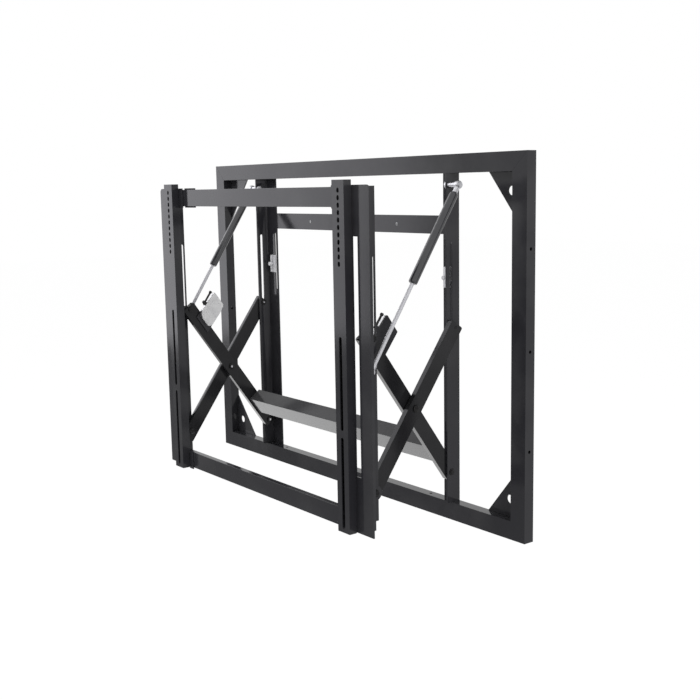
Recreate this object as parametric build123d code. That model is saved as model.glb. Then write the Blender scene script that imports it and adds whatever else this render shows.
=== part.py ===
"""Video wall mount that pops a display out on two scissor linkages.

All sizes are in millimetres. X runs to the right seen from the front, Y runs
back to the wall and Z runs up. The wall plane is Y = 0 and the middle of the
four wall bolts is the origin. The linkage is drawn fully extended.
"""
import os
from math import atan2, cos, degrees, hypot, sin

from build123d import *

os.makedirs("parts", exist_ok=True)

# Wall frame of square-cornered steel tube.
FRAME_WIDTH = 1012.0
FRAME_HEIGHT = 684.0
MEMBER_WIDTH = 34.0
MEMBER_DEPTH = 22.0
TUBE_WALL = 2.0
LINK_HOLE_R = 3.0
SIDE_HOLE_PITCH = 177.0
BOTTOM_HOLE_X = 249.0
INNER_X = FRAME_WIDTH / 2 - MEMBER_WIDTH
INNER_Z = FRAME_HEIGHT / 2 - MEMBER_WIDTH

# Corner gussets that carry the wall bolts.
GUSSET_LEG_X = 74.0
GUSSET_LEG_Z = 91.0
PLATE = 3.0
WALL_BOLT_R = 8.0
WALL_BOLT_INSET_X = 19.5
WALL_BOLT_INSET_Z = 32.5
WALL_BOLT_X = INNER_X - WALL_BOLT_INSET_X
WALL_BOLT_Z = INNER_Z - WALL_BOLT_INSET_Z

# Fits shared by every pin, slot and washer.
RUNNING = 0.05
SLIDING = 0.3
SLOT_ROOM = 1.0
WASHER_GAP = 0.3
PIVOT_R = 4.0
SLIDER_R = 3.0
HEAD_R = 7.0
SLIDER_HEAD_R = 6.0
HEAD_T = 2.4
THIN_HEAD_T = 1.8
SPACER_R = 5.0

# Plates of each side, from the display rail outwards.
RAIL_CENTRE_X = 300.0
ARM_T = 10.5
INNER_GAP = 1.1
OUTER_GAP = 1.4
SHEET = 2.5
ARM_OFFSET = 4.0
INNER_ARM_X = RAIL_CENTRE_X + ARM_OFFSET
UPRIGHT_IN = INNER_ARM_X + ARM_T + INNER_GAP
UPRIGHT_X = UPRIGHT_IN + PLATE
OUTER_ARM_X = UPRIGHT_X + OUTER_GAP
FLANGE_X = OUTER_ARM_X + ARM_T + OUTER_GAP
FLANGE_OUT = FLANGE_X + SHEET

# Upright angles welded between the top and bottom members.
UPRIGHT_DEPTH = 31.5
UPRIGHT_WIDTH = 39.7
UPRIGHT_EDGE_X = UPRIGHT_X - UPRIGHT_WIDTH

# Scissor linkage in the plane across the wall.
REACH = 198.0
RISE = 276.0
ARM_WIDTH = 30.0
ARM_END = 8.0
OUTER_ARM_FOOT = 20.0
ARM_CORNER_R = 3.0
WALL_PIVOT_INSET = 11.0
WALL_PIVOT_RISE = 59.0
WALL_PIVOT_Y = WALL_PIVOT_INSET - UPRIGHT_DEPTH
FRONT_PIVOT_Y = WALL_PIVOT_Y - REACH
PIVOT_Z = WALL_PIVOT_RISE - INNER_Z
SLIDER_Z = PIVOT_Z + RISE
ARM_LENGTH = hypot(REACH, RISE)
OPEN_ANGLE = atan2(REACH, RISE)
CROSS_Y = (WALL_PIVOT_Y + FRONT_PIVOT_Y) / 2
CROSS_Z = (PIVOT_Z + SLIDER_Z) / 2
REAR_SLOT_RUN = 156.0
FRONT_SLOT_RUN = 141.5
REAR_SLOT_TOP = SLIDER_Z + REAR_SLOT_RUN
FRONT_SLOT_TOP = SLIDER_Z + FRONT_SLOT_RUN
SLOT_LOW = SLIDER_Z - SLIDER_R - SLIDING - SLOT_ROOM

# Cross bar between the uprights.
CROSS_BAR_HEIGHT = 34.5
CROSS_BAR_DROP = 111.5
CROSS_BAR_LOW = INNER_Z - CROSS_BAR_DROP
CROSS_SCREW_X = 145.5
SCREW_R = 2.5
SCREW_HEAD_R = 4.5

# Strike that the latch catches, clamped on a slot in the upright.
ADJUST_SLOT_INSET = 6.6
ADJUST_SLOT_WIDTH = 6.0
ADJUST_SLOT_DROP = 9.5
ADJUST_SLOT_LENGTH = 130.0
ADJUST_SLOT_X = UPRIGHT_EDGE_X + ADJUST_SLOT_INSET
ADJUST_SLOT_TOP = CROSS_BAR_LOW - ADJUST_SLOT_DROP
ADJUST_SLOT_LOW = ADJUST_SLOT_TOP - ADJUST_SLOT_LENGTH
STRIKE_RISE = 39.8
STRIKE_LOW = ADJUST_SLOT_LOW + STRIKE_RISE
STRIKE_HEIGHT = 39.5
STRIKE_WIDTH = 18.5
STRIKE_OVERLAP = 2.6
STRIKE_IN = ADJUST_SLOT_X - STRIKE_OVERLAP
PEG_R = 5.0
PEG_LENGTH = 8.0

# Angle that ties the two inner arms together.
TIE_FROM = 34.5
TIE_TO = 77.0
TIE_FRONT = -11.0
TIE_BACK = 21.3

# Latch near the top of each inner arm.
LATCH_DROP = 22.0
LATCH_ROOT = 45.0
LATCH_REACH = 66.0
LATCH_LEAN_TOP = 16.0
LATCH_LEAN_LOW = 21.0
LATCH_CORNER_R = 4.0
LATCH_TO = ARM_LENGTH - LATCH_DROP
LATCH_FROM = LATCH_TO - LATCH_ROOT
LATCH_BODY_T = 7.0
LATCH_RIM = 3.0
BODY_LOW = 7.0
BODY_STEP = 14.0
BODY_HIGH = 64.0
BODY_INSET = 7.5
BODY_TO = LATCH_TO + LATCH_LEAN_TOP - BODY_INSET
EAR_R = 8.0
LEVER_T = 3.4
LEVER_ROOM = 5.3
LEVER_AT = BODY_TO + LEVER_ROOM
LEVER_H = 34.5
LEVER_RUN = 12.0
LEVER_LENGTH = 28.0
LEVER_TIP_AT = LEVER_AT + LEVER_RUN
LEVER_TIP_H = LEVER_H + LEVER_LENGTH
LEVER_WIDTH = 3.0
LEVER_HUB_R = 3.7
LEVER_KNOB_R = 2.6
LEVER_PIN_R = 1.5

# Display rails.
RAIL_WIDTH = 33.6
RAIL_DEPTH = 16.1
RAIL_T = 2.0
HOLE_PITCH = 12.5
HOLE_COUNT = 11
HOLE_WIDTH = 6.5
HOLE_HEIGHT = 9.0
LONG_SLOT_WIDTH = 8.2
LONG_SLOT_LENGTH = 166.0
LONG_SLOT_PITCH = 178.0

# Carriage plates that carry the display rails.
FACE_AHEAD = 29.8
WING_WIDTH = 29.9
HEAD_ROOM = 18.0
FOOT_ROOM = 10.5
FLANGE_DROP = 2.0
FLANGE_FOOT = 18.5
FLANGE_BEHIND = 6.5
WINDOW_EDGE = 0.7
WINDOW_FOOT = 102.0
WINDOW_HEAD = 86.5
RAIL_HEAD = 9.0
RAIL_FOOT = 1.5
FIRST_HOLE_DROP = 17.75
FIRST_SLOT_RISE = 90.0
CARRIAGE_FACE_Y = FRONT_PIVOT_Y - FACE_AHEAD
CARRIAGE_OUT = FLANGE_OUT + WING_WIDTH
CARRIAGE_IN = RAIL_CENTRE_X - RAIL_WIDTH / 2
CARRIAGE_TOP = INNER_Z - HEAD_ROOM
CARRIAGE_LOW = -INNER_Z - FOOT_ROOM
FLANGE_TOP = CARRIAGE_TOP - FLANGE_DROP
FLANGE_LOW = CARRIAGE_LOW + FLANGE_FOOT
FLANGE_BACK_Y = FRONT_PIVOT_Y + FLANGE_BEHIND
LIP_DEPTH = 6.0
LIP_RISE = 14.0
WINDOW_IN = RAIL_CENTRE_X + RAIL_WIDTH / 2 + WINDOW_EDGE
WINDOW_LOW = CARRIAGE_LOW + WINDOW_FOOT
WINDOW_TOP = CARRIAGE_TOP - WINDOW_HEAD
LUG_R = 14.0
CORNER_R = 8.0
RAIL_TOP = CARRIAGE_TOP + RAIL_HEAD
RAIL_LOW = CARRIAGE_LOW - RAIL_FOOT
HOLE_TOP_Z = RAIL_TOP - FIRST_HOLE_DROP
LOW_SLOT_Z = RAIL_LOW + FIRST_SLOT_RISE

# Bars between the rails.
BAR_HEIGHT = 34.7
BAR_DEPTH = 12.0
BAR_GAP = 1.0
TOP_BAR_DROP = 37.5
BOTTOM_BAR_DROP = 0.5
TOP_BAR_LOW = CARRIAGE_TOP - TOP_BAR_DROP
BOTTOM_BAR_LOW = CARRIAGE_LOW - BOTTOM_BAR_DROP
BRACKET_WIDTH = 15.0
BRACKET_RIM = 3.0

# Gas springs outside the carriage flanges.
EYE_R = 9.0
END_EYE_R = 6.5
END_CAP_R = 5.0
EYE_T = 14.0
EYE_GAP = 3.6
EYE_IN = FLANGE_OUT + EYE_GAP
EYE_OUT = EYE_IN + EYE_T
SPRING_X = (EYE_IN + EYE_OUT) / 2
TOP_STUD_INSET = 6.5
TOP_STUD_DROP = 21.0
END_STUD_AHEAD = 13.5
END_STUD_RISE = 220.0
SPRING_TOP_Y = TOP_STUD_INSET - UPRIGHT_DEPTH
SPRING_TOP_Z = INNER_Z - TOP_STUD_DROP
SPRING_END_Y = FRONT_PIVOT_Y - END_STUD_AHEAD
SPRING_END_Z = PIVOT_Z + END_STUD_RISE
NUT_R = 6.5
STUD_SPACER_R = 6.0
CYLINDER_R = 7.5
CYLINDER_FROM = 17.0
CYLINDER_TO = 203.0
CYLINDER_BOTTOM = 30.0
ROD_R = 3.5
ROD_INNER_END = 110.0
NECK_R = 5.0
NECK_START = 5.5
ROD_SHORT = 6.0
SPRING_ANGLE = atan2(SPRING_TOP_Y - SPRING_END_Y, SPRING_TOP_Z - SPRING_END_Z)
SPRING_LENGTH = hypot(SPRING_TOP_Y - SPRING_END_Y, SPRING_TOP_Z - SPRING_END_Z)
ROD_OUTER_END = SPRING_LENGTH - EYE_R - ROD_SHORT


def block(x0, x1, y0, y1, z0, z1):
    """A box given by its limits."""
    centre = Pos((x0 + x1) / 2, (y0 + y1) / 2, (z0 + z1) / 2)
    return centre * Box(abs(x1 - x0), abs(y1 - y0), abs(z1 - z0))


def pin(y, z, x0, x1, radius):
    """A cylinder along X between two limits."""
    return Pos((x0 + x1) / 2, y, z) * Rot(0, 90, 0) * Cylinder(radius, abs(x1 - x0))


def bolt(x, z, y0, y1, radius):
    """A cylinder along Y between two limits."""
    return Pos(x, (y0 + y1) / 2, z) * Rot(90, 0, 0) * Cylinder(radius, abs(y1 - y0))


def slot_through_x(y, z0, z1, width, x0, x1):
    """An upright slot with round ends, cut along X."""
    r = width / 2
    body = block(x0, x1, y - r, y + r, z0 + r, z1 - r)
    return body + pin(y, z0 + r, x0, x1, r) + pin(y, z1 - r, x0, x1, r)


def slot_through_y(x, z0, z1, width, y0, y1):
    """An upright slot with round ends, cut along Y."""
    r = width / 2
    body = block(x - r, x + r, y0, y1, z0 + r, z1 - r)
    return body + bolt(x, z0 + r, y0, y1, r) + bolt(x, z1 - r, y0, y1, r)


def plate_xz(points, y0, y1):
    """A flat outline in X and Z, given thickness along Y."""
    outline = Polyline(*[(x, y0, z) for x, z in points], close=True)
    return extrude(make_face(outline), amount=abs(y1 - y0), dir=(0, 1 if y1 > y0 else -1, 0))


def plate_yz(points, x0, x1):
    """A flat outline in Y and Z, given thickness along X."""
    outline = Polyline(*[(x0, y, z) for y, z in points], close=True)
    return extrude(make_face(outline), amount=abs(x1 - x0), dir=(1 if x1 > x0 else -1, 0, 0))


def on_arm(s, h):
    """A point s along the inner arm from its wall pivot and h off its centreline."""
    y = WALL_PIVOT_Y - s * sin(OPEN_ANGLE) + h * cos(OPEN_ANGLE)
    z = PIVOT_Z + s * cos(OPEN_ANGLE) + h * sin(OPEN_ANGLE)
    return y, z


def arm_plate(corners, x0, x1):
    """A plate whose corners are given along and across the inner arm."""
    return plate_yz([on_arm(s, h) for s, h in corners], x0, x1)


def on_spring(s):
    """A point s along the gas spring from its top stud."""
    return SPRING_TOP_Y - s * sin(SPRING_ANGLE), SPRING_TOP_Z - s * cos(SPRING_ANGLE)


def along_spring(s0, s1, radius):
    """A cylinder along the gas spring between two distances."""
    y, z = on_spring((s0 + s1) / 2)
    return Pos(SPRING_X, y, z) * Rot(-degrees(SPRING_ANGLE), 0, 0) * Cylinder(radius, s1 - s0)


def mirrored(shape):
    """The same piece on the left side."""
    return mirror(shape, about=Plane.YZ)


def save(name, shape):
    export_step(shape, f"parts/{name}.step")


def both_sides(name, shape):
    """Writes a right-hand piece and its mirrored left-hand piece."""
    save(f"{name}_right", shape)
    save(f"{name}_left", mirrored(shape))


def frame_member_across(sign):
    """The top (+1) or bottom (-1) tube with mitred ends."""
    out_x, out_z = FRAME_WIDTH / 2, sign * FRAME_HEIGHT / 2
    in_x, in_z = INNER_X, sign * INNER_Z
    tube = plate_xz([(-out_x, out_z), (out_x, out_z), (in_x, in_z), (-in_x, in_z)], 0, -MEMBER_DEPTH)
    wall = sign * TUBE_WALL
    return tube - block(-out_x, out_x, -TUBE_WALL, TUBE_WALL - MEMBER_DEPTH, out_z - wall, in_z + wall)


def frame_bottom():
    tube = frame_member_across(-1)
    for x in (-BOTTOM_HOLE_X, BOTTOM_HOLE_X):
        drill = Pos(x, -MEMBER_DEPTH / 2, -FRAME_HEIGHT / 2 + MEMBER_WIDTH / 2)
        tube -= drill * Cylinder(LINK_HOLE_R, 2 * MEMBER_WIDTH)
    return tube


def frame_side():
    """The right tube, drilled to be bolted to the next frame."""
    out_x, out_z = FRAME_WIDTH / 2, FRAME_HEIGHT / 2
    tube = plate_xz([(out_x, -out_z), (out_x, out_z), (INNER_X, INNER_Z), (INNER_X, -INNER_Z)], 0, -MEMBER_DEPTH)
    tube -= block(INNER_X + TUBE_WALL, out_x - TUBE_WALL, -TUBE_WALL, TUBE_WALL - MEMBER_DEPTH, -out_z, out_z)
    for k in (-1, 0, 1):
        tube -= pin(-MEMBER_DEPTH / 2, k * SIDE_HOLE_PITCH, INNER_X - TUBE_WALL, out_x + TUBE_WALL, LINK_HOLE_R)
    return tube


def gusset(sign):
    """A corner plate at the top (+1) or bottom (-1) of the right side."""
    corner = [(INNER_X, sign * INNER_Z), (INNER_X - GUSSET_LEG_X, sign * INNER_Z),
              (INNER_X, sign * (INNER_Z - GUSSET_LEG_Z))]
    return plate_xz(corner, 0, -PLATE) - bolt(WALL_BOLT_X, sign * WALL_BOLT_Z, -2 * PLATE, PLATE, WALL_BOLT_R)


def wall_upright():
    """A steel angle with a side flange for the linkage and a back flange for the strike."""
    side = block(UPRIGHT_IN, UPRIGHT_X, -UPRIGHT_DEPTH, 0, -INNER_Z, INNER_Z)
    back = block(UPRIGHT_EDGE_X, UPRIGHT_IN, -PLATE, 0, -INNER_Z, INNER_Z)
    angle = side + back
    x0, x1 = UPRIGHT_IN - PLATE, UPRIGHT_X + PLATE
    angle -= slot_through_x(WALL_PIVOT_Y, SLOT_LOW, REAR_SLOT_TOP, 2 * (SLIDER_R + SLIDING), x0, x1)
    angle -= slot_through_y(ADJUST_SLOT_X, ADJUST_SLOT_LOW, ADJUST_SLOT_TOP, ADJUST_SLOT_WIDTH, -2 * PLATE, PLATE)
    angle -= pin(WALL_PIVOT_Y, PIVOT_Z, x0, x1, PIVOT_R + RUNNING)
    angle -= pin(SPRING_TOP_Y, SPRING_TOP_Z, x0, x1, PIVOT_R + RUNNING)
    return angle


def cross_bar():
    bar = block(-UPRIGHT_EDGE_X, UPRIGHT_EDGE_X, -PLATE, 0, CROSS_BAR_LOW, CROSS_BAR_LOW + CROSS_BAR_HEIGHT)
    for x in (-CROSS_SCREW_X, CROSS_SCREW_X):
        bar -= bolt(x, CROSS_BAR_LOW + CROSS_BAR_HEIGHT / 2, -2 * PLATE, PLATE, SCREW_R + RUNNING)
    return bar


def cross_bar_screws():
    z = CROSS_BAR_LOW + CROSS_BAR_HEIGHT / 2
    screws = []
    for x in (-CROSS_SCREW_X, CROSS_SCREW_X):
        screws.append(bolt(x, z, -PLATE, 0, SCREW_R) + bolt(x, z, -PLATE - HEAD_T, -PLATE, SCREW_HEAD_R))
    return Compound(children=screws)


def strike():
    """A plated keeper with a forward peg, clamped on the adjusting slot."""
    middle = STRIKE_LOW + STRIKE_HEIGHT / 2
    centre = STRIKE_IN + STRIKE_WIDTH / 2
    plate = block(STRIKE_IN, STRIKE_IN + STRIKE_WIDTH, -2 * PLATE, -PLATE, STRIKE_LOW, STRIKE_LOW + STRIKE_HEIGHT)
    return plate + bolt(centre, middle, -2 * PLATE - PEG_LENGTH, -2 * PLATE, PEG_R)


def wall_pivot():
    """The fixed pin at the foot of the upright on which the inner arm turns."""
    arm_out = INNER_ARM_X + ARM_T
    y, z = WALL_PIVOT_Y, PIVOT_Z
    shank = pin(y, z, INNER_ARM_X - WASHER_GAP, UPRIGHT_X, PIVOT_R)
    head = pin(y, z, INNER_ARM_X - WASHER_GAP - HEAD_T, INNER_ARM_X - WASHER_GAP, HEAD_R)
    washer = pin(y, z, arm_out + WASHER_GAP, UPRIGHT_IN, HEAD_R)
    nut = pin(y, z, UPRIGHT_X, UPRIGHT_X + HEAD_T, HEAD_R)
    return shank + head + washer + nut


def stud_root(y, z, plate_in, plate_out):
    """The part of a stud that is clamped in a plate, with its nut and its spacer to the spring's eye."""
    shank = pin(y, z, plate_in, plate_out, PIVOT_R)
    nut = pin(y, z, plate_in - 2 * HEAD_T, plate_in, NUT_R)
    return shank + nut + pin(y, z, plate_out, EYE_IN - WASHER_GAP, STUD_SPACER_R)


def stud_tip(y, z, start, cap_radius):
    """The part of a stud that goes through the spring's eye, with its cap."""
    cap_start = EYE_OUT + WASHER_GAP
    return pin(y, z, start, cap_start, PIVOT_R) + pin(y, z, cap_start, cap_start + HEAD_T, cap_radius)


def spring_stud_top():
    root = stud_root(SPRING_TOP_Y, SPRING_TOP_Z, UPRIGHT_IN, UPRIGHT_X)
    return root + stud_tip(SPRING_TOP_Y, SPRING_TOP_Z, EYE_IN - WASHER_GAP, NUT_R)


def arm_bar(low, high, foot, x0):
    """A flat bar from its foot pin up to its slider pin, square at both ends with small round corners."""
    along_y, along_z = (high[0] - low[0]) / ARM_LENGTH, (high[1] - low[1]) / ARM_LENGTH
    half, top = ARM_WIDTH / 2, ARM_LENGTH + ARM_END
    corners = []
    for s, h in ((-foot, -half), (top, -half), (top, half), (-foot, half)):
        corners.append((low[0] + s * along_y + h * along_z, low[1] + s * along_z - h * along_y))
    bar = plate_yz(corners, x0, x0 + ARM_T)
    bar = fillet(bar.edges().filter_by(Axis.X), ARM_CORNER_R)
    for (y, z), radius in ((low, PIVOT_R), ((CROSS_Y, CROSS_Z), PIVOT_R), (high, SLIDER_R)):
        bar -= pin(y, z, x0 - PLATE, x0 + ARM_T + PLATE, radius + RUNNING)
    return bar


def inner_arm():
    """The bar from the wall pivot up to the slider in the carriage."""
    return arm_bar((WALL_PIVOT_Y, PIVOT_Z), (FRONT_PIVOT_Y, SLIDER_Z), ARM_END, INNER_ARM_X)


def outer_arm():
    """The bar from the carriage pivot up to the slider in the wall upright."""
    return arm_bar((FRONT_PIVOT_Y, PIVOT_Z), (WALL_PIVOT_Y, SLIDER_Z), OUTER_ARM_FOOT, OUTER_ARM_X)


def cross_pivot():
    """The pin fixed in the inner arm on which the outer arm turns."""
    inner_out = INNER_ARM_X + ARM_T
    outer_out = OUTER_ARM_X + ARM_T
    shank = pin(CROSS_Y, CROSS_Z, INNER_ARM_X, outer_out + WASHER_GAP, PIVOT_R)
    head = pin(CROSS_Y, CROSS_Z, INNER_ARM_X - HEAD_T, INNER_ARM_X, HEAD_R)
    spacer = pin(CROSS_Y, CROSS_Z, inner_out, OUTER_ARM_X - WASHER_GAP, SPACER_R)
    cap = pin(CROSS_Y, CROSS_Z, outer_out + WASHER_GAP, outer_out + WASHER_GAP + HEAD_T, HEAD_R)
    return shank + head + spacer + cap


def front_slider():
    """The pin on top of the inner arm that runs in the carriage slot."""
    y, z = FRONT_PIVOT_Y, SLIDER_Z
    shank = pin(y, z, INNER_ARM_X, FLANGE_OUT + WASHER_GAP, SLIDER_R)
    head = pin(y, z, INNER_ARM_X - HEAD_T, INNER_ARM_X, SLIDER_HEAD_R)
    cap = pin(y, z, FLANGE_OUT + WASHER_GAP, FLANGE_OUT + WASHER_GAP + THIN_HEAD_T, SLIDER_HEAD_R)
    return shank + head + cap


def rear_slider():
    """The pin on top of the outer arm that runs in the wall upright's slot."""
    y, z = WALL_PIVOT_Y, SLIDER_Z
    cap_end = UPRIGHT_IN - WASHER_GAP
    shank = pin(y, z, cap_end, OUTER_ARM_X + ARM_T, SLIDER_R)
    return shank + pin(y, z, cap_end - HEAD_T, cap_end, SLIDER_HEAD_R)


def front_pivot():
    """The pin at the foot of the outer arm that carries the carriage."""
    y, z = FRONT_PIVOT_Y, PIVOT_Z
    arm_out = OUTER_ARM_X + ARM_T
    shank = pin(y, z, OUTER_ARM_X, FLANGE_OUT + WASHER_GAP, PIVOT_R)
    head = pin(y, z, OUTER_ARM_X - THIN_HEAD_T, OUTER_ARM_X, HEAD_R)
    collar = pin(y, z, arm_out, FLANGE_X - WASHER_GAP, SPACER_R)
    nut = pin(y, z, FLANGE_OUT + WASHER_GAP, FLANGE_OUT + WASHER_GAP + HEAD_T, HEAD_R)
    return shank + head + collar + nut


def tie_bar():
    """The angle between the inner arms: a web near their front edge and a leg going back from its top."""
    reach, back = INNER_ARM_X, TIE_FRONT + PLATE
    web = arm_plate([(TIE_FROM, TIE_FRONT), (TIE_TO, TIE_FRONT), (TIE_TO, back), (TIE_FROM, back)], -reach, reach)
    leg = arm_plate([(TIE_TO - PLATE, back), (TIE_TO, back), (TIE_TO, TIE_BACK), (TIE_TO - PLATE, TIE_BACK)],
                    -reach, reach)
    return web + leg


def latch_plate():
    """The leaning plate on the inner arm that carries the latch and its lever."""
    x1 = INNER_ARM_X
    x0 = x1 - PLATE
    corners = [(LATCH_FROM, 0), (LATCH_TO, 0), (LATCH_TO + LATCH_LEAN_TOP, LATCH_REACH),
               (LATCH_FROM + LATCH_LEAN_LOW, LATCH_REACH)]
    plate = fillet(arm_plate(corners, x0, x1).edges().filter_by(Axis.X), LATCH_CORNER_R)
    y, z = on_arm(LEVER_AT, LEVER_H)
    return plate + pin(y, z, x0, x1, EAR_R) + pin(y, z, x0 - WASHER_GAP - LEVER_T, x0, LEVER_PIN_R)


def latch_body():
    """The plated latch case on the inner face of the latch plate."""
    x1 = INNER_ARM_X - PLATE

    def low_edge(h):
        return LATCH_FROM + LATCH_LEAN_LOW * h / LATCH_REACH + LATCH_RIM

    corners = [(BODY_TO, BODY_STEP), (BODY_TO, BODY_HIGH), (low_edge(BODY_HIGH), BODY_HIGH),
               (low_edge(BODY_STEP), BODY_STEP), (low_edge(BODY_STEP) + BODY_STEP - BODY_LOW, BODY_LOW),
               (BODY_TO - BODY_STEP, BODY_LOW)]
    return arm_plate(corners, x1 - LATCH_BODY_T, x1)


def latch_lever():
    """The small release lever beside the latch case."""
    x1 = INNER_ARM_X - PLATE - WASHER_GAP
    x0 = x1 - LEVER_T
    half = LEVER_WIDTH / 2
    hub = pin(*on_arm(LEVER_AT, LEVER_H), x0, x1, LEVER_HUB_R)
    bar = arm_plate([(LEVER_AT - half, LEVER_H), (LEVER_AT + half, LEVER_H),
                     (LEVER_TIP_AT + half, LEVER_TIP_H), (LEVER_TIP_AT - half, LEVER_TIP_H)], x0, x1)
    knob = pin(*on_arm(LEVER_TIP_AT, LEVER_TIP_H), x0, x1, LEVER_KNOB_R)
    return hub + bar + knob - pin(*on_arm(LEVER_AT, LEVER_H), x0 - 1, x1 + 1, LEVER_PIN_R + RUNNING)


def carriage_upright():
    """The folded front plate with its slotted flange, outer lip and long window."""
    front, back = CARRIAGE_FACE_Y, CARRIAGE_FACE_Y + SHEET
    y0, y1 = front - SHEET, back + SHEET
    face = block(CARRIAGE_IN, CARRIAGE_OUT, front, back, CARRIAGE_LOW, CARRIAGE_TOP)
    face -= block(WINDOW_IN, FLANGE_X, y0, y1, WINDOW_LOW, WINDOW_TOP)
    corner_x, corner_z = CARRIAGE_OUT - CORNER_R, CARRIAGE_TOP - CORNER_R
    corner = block(corner_x, CARRIAGE_OUT, y0, y1, corner_z, CARRIAGE_TOP)
    face -= corner - bolt(corner_x, corner_z, y0, y1, CORNER_R)
    flange = block(FLANGE_X, FLANGE_OUT, back, FLANGE_BACK_Y, FLANGE_LOW, FLANGE_TOP)
    flange += pin(FRONT_PIVOT_Y, PIVOT_Z, FLANGE_X, FLANGE_OUT, LUG_R)
    lip = block(CARRIAGE_OUT - SHEET, CARRIAGE_OUT, back, front + LIP_DEPTH, CARRIAGE_LOW + LIP_RISE, corner_z)
    x0, x1 = FLANGE_X - SHEET, FLANGE_OUT + SHEET
    flange -= slot_through_x(FRONT_PIVOT_Y, SLOT_LOW, FRONT_SLOT_TOP, 2 * (SLIDER_R + SLIDING), x0, x1)
    flange -= pin(FRONT_PIVOT_Y, PIVOT_Z, x0, x1, PIVOT_R + RUNNING)
    flange -= pin(SPRING_END_Y, SPRING_END_Z, x0, x1, PIVOT_R + RUNNING)
    return face + flange + lip


def rail():
    """The channel that the display bolts to."""
    x0, x1 = RAIL_CENTRE_X - RAIL_WIDTH / 2, RAIL_CENTRE_X + RAIL_WIDTH / 2
    front = CARRIAGE_FACE_Y - RAIL_DEPTH
    channel = block(x0, x1, front, CARRIAGE_FACE_Y, RAIL_LOW, RAIL_TOP)
    channel -= block(x0 + RAIL_T, x1 - RAIL_T, front + RAIL_T, CARRIAGE_FACE_Y + RAIL_T,
                     RAIL_LOW - RAIL_T, RAIL_TOP + RAIL_T)
    y0, y1 = front - RAIL_T, front + 2 * RAIL_T
    for k in range(HOLE_COUNT):
        low = HOLE_TOP_Z - k * HOLE_PITCH - HOLE_HEIGHT / 2
        channel -= slot_through_y(RAIL_CENTRE_X, low, low + HOLE_HEIGHT, HOLE_WIDTH, y0, y1)
    for middle in (LOW_SLOT_Z, LOW_SLOT_Z + LONG_SLOT_PITCH):
        low = middle - LONG_SLOT_LENGTH / 2
        channel -= slot_through_y(RAIL_CENTRE_X, low, low + LONG_SLOT_LENGTH, LONG_SLOT_WIDTH, y0, y1)
    return channel


def bar(low):
    """A square-edged tube across the back of both carriage plates."""
    reach = WINDOW_IN - BAR_GAP
    front = CARRIAGE_FACE_Y + SHEET
    tube = block(-reach, reach, front, front + BAR_DEPTH, low, low + BAR_HEIGHT)
    inner = block(-2 * reach, 2 * reach, front + TUBE_WALL, front + BAR_DEPTH - TUBE_WALL,
                  low + TUBE_WALL, low + BAR_HEIGHT - TUBE_WALL)
    return tube - inner


def bar_bracket(low):
    """The short plate that joins a bar's end to the carriage plate."""
    return block(CARRIAGE_IN - BRACKET_WIDTH, CARRIAGE_IN, CARRIAGE_FACE_Y, CARRIAGE_FACE_Y + SHEET,
                 low - BRACKET_RIM, low + BAR_HEIGHT + BRACKET_RIM)


def spring_eye(y, z, s0, s1, radius):
    """An end fitting: a ring round the stud and a neck towards the spring."""
    ring = pin(y, z, EYE_IN, EYE_OUT, radius) + along_spring(s0, s1, NECK_R)
    return ring - pin(y, z, SPRING_X - EYE_T, SPRING_X + EYE_T, PIVOT_R + RUNNING)


def spring_cylinder():
    bore = along_spring(CYLINDER_BOTTOM, CYLINDER_TO + CYLINDER_R, ROD_R + RUNNING)
    return along_spring(CYLINDER_FROM, CYLINDER_TO, CYLINDER_R) - bore


save("frame_top", frame_member_across(1))
save("frame_bottom", frame_bottom())
both_sides("frame_side", frame_side())
both_sides("gusset_top", gusset(1))
both_sides("gusset_bottom", gusset(-1))
both_sides("wall_upright", wall_upright())
save("cross_bar", cross_bar())
save("cross_bar_screws", cross_bar_screws())
both_sides("strike", strike())
both_sides("wall_pivot", wall_pivot())
both_sides("spring_stud_top", spring_stud_top())

both_sides("inner_arm", inner_arm())
both_sides("cross_pivot", cross_pivot())
both_sides("front_slider", front_slider())
save("tie_bar", tie_bar())
both_sides("latch_plate", latch_plate())
both_sides("latch_body", latch_body())
both_sides("latch_lever", latch_lever())

both_sides("outer_arm", outer_arm())
both_sides("rear_slider", rear_slider())
both_sides("front_pivot", front_pivot())

both_sides("carriage_upright", carriage_upright())
both_sides("rail", rail())
save("top_bar", bar(TOP_BAR_LOW))
save("bottom_bar", bar(BOTTOM_BAR_LOW))
both_sides("bracket_top", bar_bracket(TOP_BAR_LOW))
both_sides("bracket_bottom", bar_bracket(BOTTOM_BAR_LOW))
both_sides("spring_stud_front", stud_root(SPRING_END_Y, SPRING_END_Z, FLANGE_X, FLANGE_OUT))

both_sides("spring_eye_top", spring_eye(SPRING_TOP_Y, SPRING_TOP_Z, NECK_START, CYLINDER_FROM, EYE_R))
both_sides("spring_cylinder", spring_cylinder())
both_sides("spring_rod", along_spring(ROD_INNER_END, ROD_OUTER_END, ROD_R))
both_sides("spring_eye_end",
           spring_eye(SPRING_END_Y, SPRING_END_Z, ROD_OUTER_END, SPRING_LENGTH - NECK_START, END_EYE_R))
both_sides("spring_pin_end", stud_tip(SPRING_END_Y, SPRING_END_Z, EYE_IN, END_CAP_R))
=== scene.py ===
"""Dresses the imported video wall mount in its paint, plating and small fittings."""
from math import cos, pi, radians, sin

import bmesh
import bpy
from mathutils import Matrix, Vector


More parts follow.
